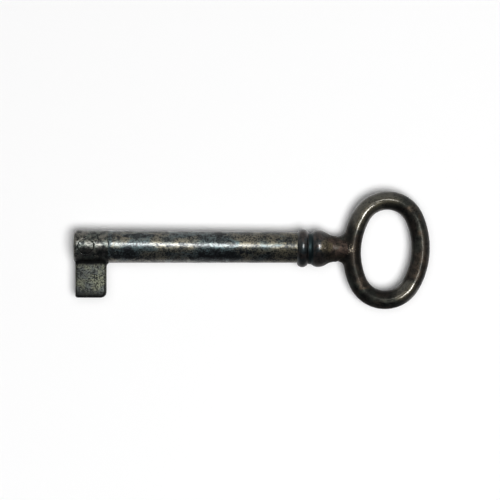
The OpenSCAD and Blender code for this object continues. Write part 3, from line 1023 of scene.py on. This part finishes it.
def crotch_web(bm, fillet_r, lean, side):
    """A rounded web that fills the corner between neck and bow.

    It lies on the side away from the bit (1) or near it (-1)."""
    arc_x = bow_x + side_offset * cos(lean)
    arc_y = -side_offset * sin(lean)
    fillet_y = WAIST_R + fillet_r
    fillet_x = arc_x - sqrt((side_r + BAR_R + fillet_r) ** 2 - (fillet_y - arc_y) ** 2)
    bow_angle = atan2(arc_y - fillet_y, arc_x - fillet_x)
    section = bmesh.ops.create_circle(bm, segments=32, radius=CROTCH_WEB_R, cap_ends=True)["verts"]
    faces = list({f for v in section for f in v.link_faces})
    stand = (Matrix.Translation((fillet_x, side * (fillet_y - fillet_r - CROTCH_WEB_R), 0))
             @ Matrix.Rotation(radians(90), 4, "Y"))
    bmesh.ops.transform(bm, matrix=stand, verts=section)
    edges = list({e for v in section for e in v.link_edges})
    centre = (fillet_x, side * fillet_y, 0)
    spin_on(bm, section + edges + faces, centre, side * (pi / 2 + bow_angle), steps=16)


bm = oval_bar()
place = Matrix.Translation((bow_x, 0, 0)) @ Matrix.Rotation(-BOW_LEAN, 4, "Z")
bmesh.ops.transform(bm, matrix=place, verts=bm.verts)
crotch_web(bm, CROTCH_FAR_R, BOW_LEAN, 1)
crotch_web(bm, CROTCH_NEAR_R, -BOW_LEAN, -1)
print("the oval's sides bend at", round(side_r / MM, 2), "mm, its ends at", round(BOW_END_R / MM, 2), "mm")

# %% [markdown]
# The neck runs out on the bow in a smooth brazed joint. So a cone of brazing, a hair inside the neck at
# the waist and a hair outside it at the bow, joins the bar and the webs before all of them become one
# skin, a little lowered by wear. A fillet modifier would need clean edges where cone, bar and webs
# cross, and the voxels don't.

# %% Bow's skin
BRAZE_INSIDE = 0.05 * MM
BRAZE_PROUD = 0.01 * MM
BOW_VOXEL = 0.1 * MM


def worn(bm, size_mm, depth_mm, seed):
    """Lowers every vertex a little along its normal, as years of rubbing do."""
    bm.normal_update()
    depths = [(v, unevenness(v.co / (size_mm * MM) + Vector((seed, 0, 0)))) for v in bm.verts]
    for v, depth in depths:
        v.co -= v.normal * depth * depth_mm * MM


braze = turn([(waist_x, 0), (waist_x, WAIST_R - BRAZE_INSIDE),
              (bow_front_x, BAR_R + BRAZE_PROUD), (bow_front_x, 0)])
join(bm, braze)
bmesh.ops.transform(bm, matrix=LEANED, verts=bm.verts)
bmesh.ops.recalc_face_normals(bm, faces=bm.faces)
bm = one_skin(bm, BOW_VOXEL, rounds=12)
worn(bm, size_mm=3.5, depth_mm=0.015, seed=3)
print("the bow's skin has", len(bm.verts), "vertices")

# %% [markdown]
# The bow's finish has its marks: polished over the upper shoulder and at the lower far corner, where a
# hand left them, darker and duller beside the neck, at the lower end and on the upper far side, with bare
# specks in the joint that are painted bright as glints.

# %% Finish of the bow
BOW_TINTS = ((0.025, 0.027, 0.023), (0.043, 0.033, 0.025))
HELD = [(58.2, 5.6, 1.7, 2.0), (59.9, 8.0, 3.5, 3.5), (62.2, 9.7, 4.2, 1.8), (67.3, -8.8, 2.8, 2.1)]
BOW_DARK_OVALS = [(56.4, -1.8, 2.3, 5.2), (62.2, -9.3, 3.9, 1.5), (68.2, 4.2, 1.7, 3.2), (65.2, 8.2, 2.6, 1.3)]
# Bare specks in the joint, painted bright as glints.
BOW_GLINT_SPECKS = [(55.8, -0.3, 1.3, 0.9)]

bow_brass = antique_brass("hand_worn_brass", BOW_TINTS, skin=0.82, skin_roughness=0.13, bump_mm=0.012,
                          held=HELD, darkened=BOW_DARK_OVALS, bare=BOW_GLINT_SPECKS)
bow = finish_piece(bm, "bow_ring", "bow", bow_brass)

# %% [markdown]
# ## Bit head
# The bit and its sleeve are one casting. The sleeve is turned like the barrel and drilled through for the
# head pins. It is made a little too long, because the skin that comes later would round its rear rim,
# and that rim is cut clean at the end.

# %% Sleeve
SLEEVE_BORE_R = 2.5 * MM
SLEEVE_ROUND = 0.75 * MM
RIM_SPARE = 0.4 * MM
PIN_HOLE_R = 1.63 * MM

nose = barrel_r(SLEEVE_ROUND) - SLEEVE_ROUND
sleeve_cut = SLEEVE_END + RIM_SPARE
profile = [(0, SLEEVE_BORE_R)]
profile += arc((SLEEVE_ROUND, nose), SLEEVE_ROUND, 180, 90, steps=8)
profile += [(sleeve_cut, barrel_r(SLEEVE_END)), (sleeve_cut, SLEEVE_BORE_R), (0, SLEEVE_BORE_R)]
bm = carve(turn(profile), cross_pin(PIN_HOLE_R))
print("the sleeve's nose starts at a radius of", round(nose / MM, 2), "mm")

# %% [markdown]
# The bit starts as a block whose corner edges are bevelled to the outline's radii and whose rims are
# bevelled again for the rolled edge. An outline could be drawn and extruded, but bevels on a block give
# corners and rims from three radii.

# %% Bit
BIT_FRONT = 0.35 * MM
BIT_REAR = 6.65 * MM
BIT_THICKNESS = 2.6 * MM
BIT_ROOT = -2.62 * MM
FRONT_CORNER_R = 0.5 * MM
REAR_CORNER_R = 1.15 * MM
ROLLED_EDGE_R = 0.6 * MM

size = Vector((BIT_REAR - BIT_FRONT, BIT_ROOT - BIT_FAR_EDGE, BIT_THICKNESS))
middle = Vector(((BIT_FRONT + BIT_REAR) / 2, (BIT_ROOT + BIT_FAR_EDGE) / 2, 0))
plate = block(size, middle)


def upright_edges(bm, x):
    """The plate's edges through its thickness at its far edge and at a distance behind the mouth."""
    found = []
    for e in bm.edges:
        a, b = (v.co for v in e.verts)
        if abs(a.x - x) < SAME_PLACE and abs(b.x - x) < SAME_PLACE and abs(a.z - b.z) > BIT_THICKNESS / 2:
            if a.y < middle.y and b.y < middle.y:
                found.append(e)
    return found


def round_off(bm, edges, radius, segments):
    """Bevels edges of the plate to a radius."""
    bmesh.ops.bevel(bm, geom=edges, offset=radius, offset_type="OFFSET", affect="EDGES",
                    segments=segments, profile=0.5, material=-1)


for x, corner_r in ((BIT_FRONT, FRONT_CORNER_R), (BIT_REAR, REAR_CORNER_R)):
    round_off(plate, upright_edges(plate, x), corner_r, segments=8)
rims = [e for e in plate.edges if abs(e.verts[0].co.z - e.verts[1].co.z) < SAME_PLACE
        and not (e.verts[0].co.y > middle.y and e.verts[1].co.y > middle.y)]
round_off(plate, rims, ROLLED_EDGE_R, segments=6)
print("the bit's plate has", len(plate.faces), "faces")
join(bm, plate)

# %% [markdown]
# At its root the bit flares towards the sleeve, and a small round web fills the corner behind it. Both
# are blocks, as overlapping blocks are all that the voxels need: one skin over sleeve, bit and webs
# rounds their joints, as the mould did, and the lips of the pin holes.

# %% Root, crook and skin of the head
ROOT_FILLET_Y = -3.02 * MM
ROOT_FILLET_DEPTH = 1.0 * MM
ROOT_FILLET_THICKNESS = 2.5 * MM
ROOT_FILLET_FLARE = 1.45
CROOK_SIDE = 0.6 * MM
CROOK_THICKNESS = 1.7 * MM
HEAD_VOXEL = 0.08 * MM

root = block((size.x, ROOT_FILLET_DEPTH, ROOT_FILLET_THICKNESS), (middle.x, ROOT_FILLET_Y, 0))
near_sleeve = [v for v in root.verts if v.co.y > ROOT_FILLET_Y]
bmesh.ops.scale(root, vec=(1, 1, ROOT_FILLET_FLARE), verts=near_sleeve)
join(bm, root)
crook = block((CROOK_SIDE, CROOK_SIDE, CROOK_THICKNESS), (BIT_REAR, -barrel_r(BIT_REAR), 0), radians(45))
join(bm, crook)
bmesh.ops.recalc_face_normals(bm, faces=bm.faces)
bm = one_skin(bm, HEAD_VOXEL, rounds=10)

spare_side = 2 * MOUTH_R + 2 * MM
spare = block((spare_side, spare_side, spare_side), (SLEEVE_END + spare_side / 2, 0, 0))
bm = carve(bm, spare)
worn(bm, size_mm=2.2, depth_mm=0.02, seed=7)
bit_head = finish_piece(bm, "bit_head_casting", "bit_head", iron)

# %% [markdown]
# ### Head pins
# Two short pins, one from each side, hold sleeve and barrel together and stop at the bore. They were
# filed flush with the sleeve, so each is what a cylinder across the head shares with the sleeve's
# outside, less the bore. The thin dark ring round each is the gap in which the hole's lip and the pin's
# edge are rounded.

# %% Head pins
FLUSH = 0.02 * MM
PIN_VOXEL = 0.06 * MM

filed = turn([(-MM, 0), (-MM, barrel_r(0) - FLUSH),
              (SLEEVE_END, barrel_r(SLEEVE_END) - FLUSH), (SLEEVE_END, 0)])
bore = turn([(-MM, 0), (-MM, PIN_BORE_R), (SLEEVE_END, PIN_BORE_R), (SLEEVE_END, 0)])
bm = carve(carve(cross_pin(HEAD_PIN_R), filed, "INTERSECT"), bore)
bm = one_skin(bm, PIN_VOXEL, rounds=4)
head_pins = finish_piece(bm, "filed_head_pins", "head_pins", iron)

# %% [markdown]
# ## Who is lit by which lamp
# The bow's three lamps stand where their lights on the bow are right, but they would also fill the
# mouldings, and the streak lamp would show a second time in the bow. A photographer shades a lamp with a
# card. Here a lamp is told its pieces.

# %% Shaded lamps


def lights_only(lamp, pieces):
    """Keeps a lamp's light on some pieces."""
    lit = bpy.data.collections.new(lamp.name + "_lights")
    for piece in pieces:
        lit.objects.link(piece)
    lamp.light_linking.receiver_collection = lit
    print(lamp.name, "lights", ", ".join(piece.name for piece in pieces))


lights_only(streak_lamp, [barrel, bit_head, head_pins])
lights_only(bead_lamp, [collar, neck])
for lamp in (bow_lamp, glint_lamp, top_lamp):
    lights_only(lamp, [bow])

# %% Measure and finish
low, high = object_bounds()
off = [round((a - b) / MM, 3) for a, b in zip([*low, *high], [*cad_low, *cad_high])]
print("visual box differs by", off, "mm")
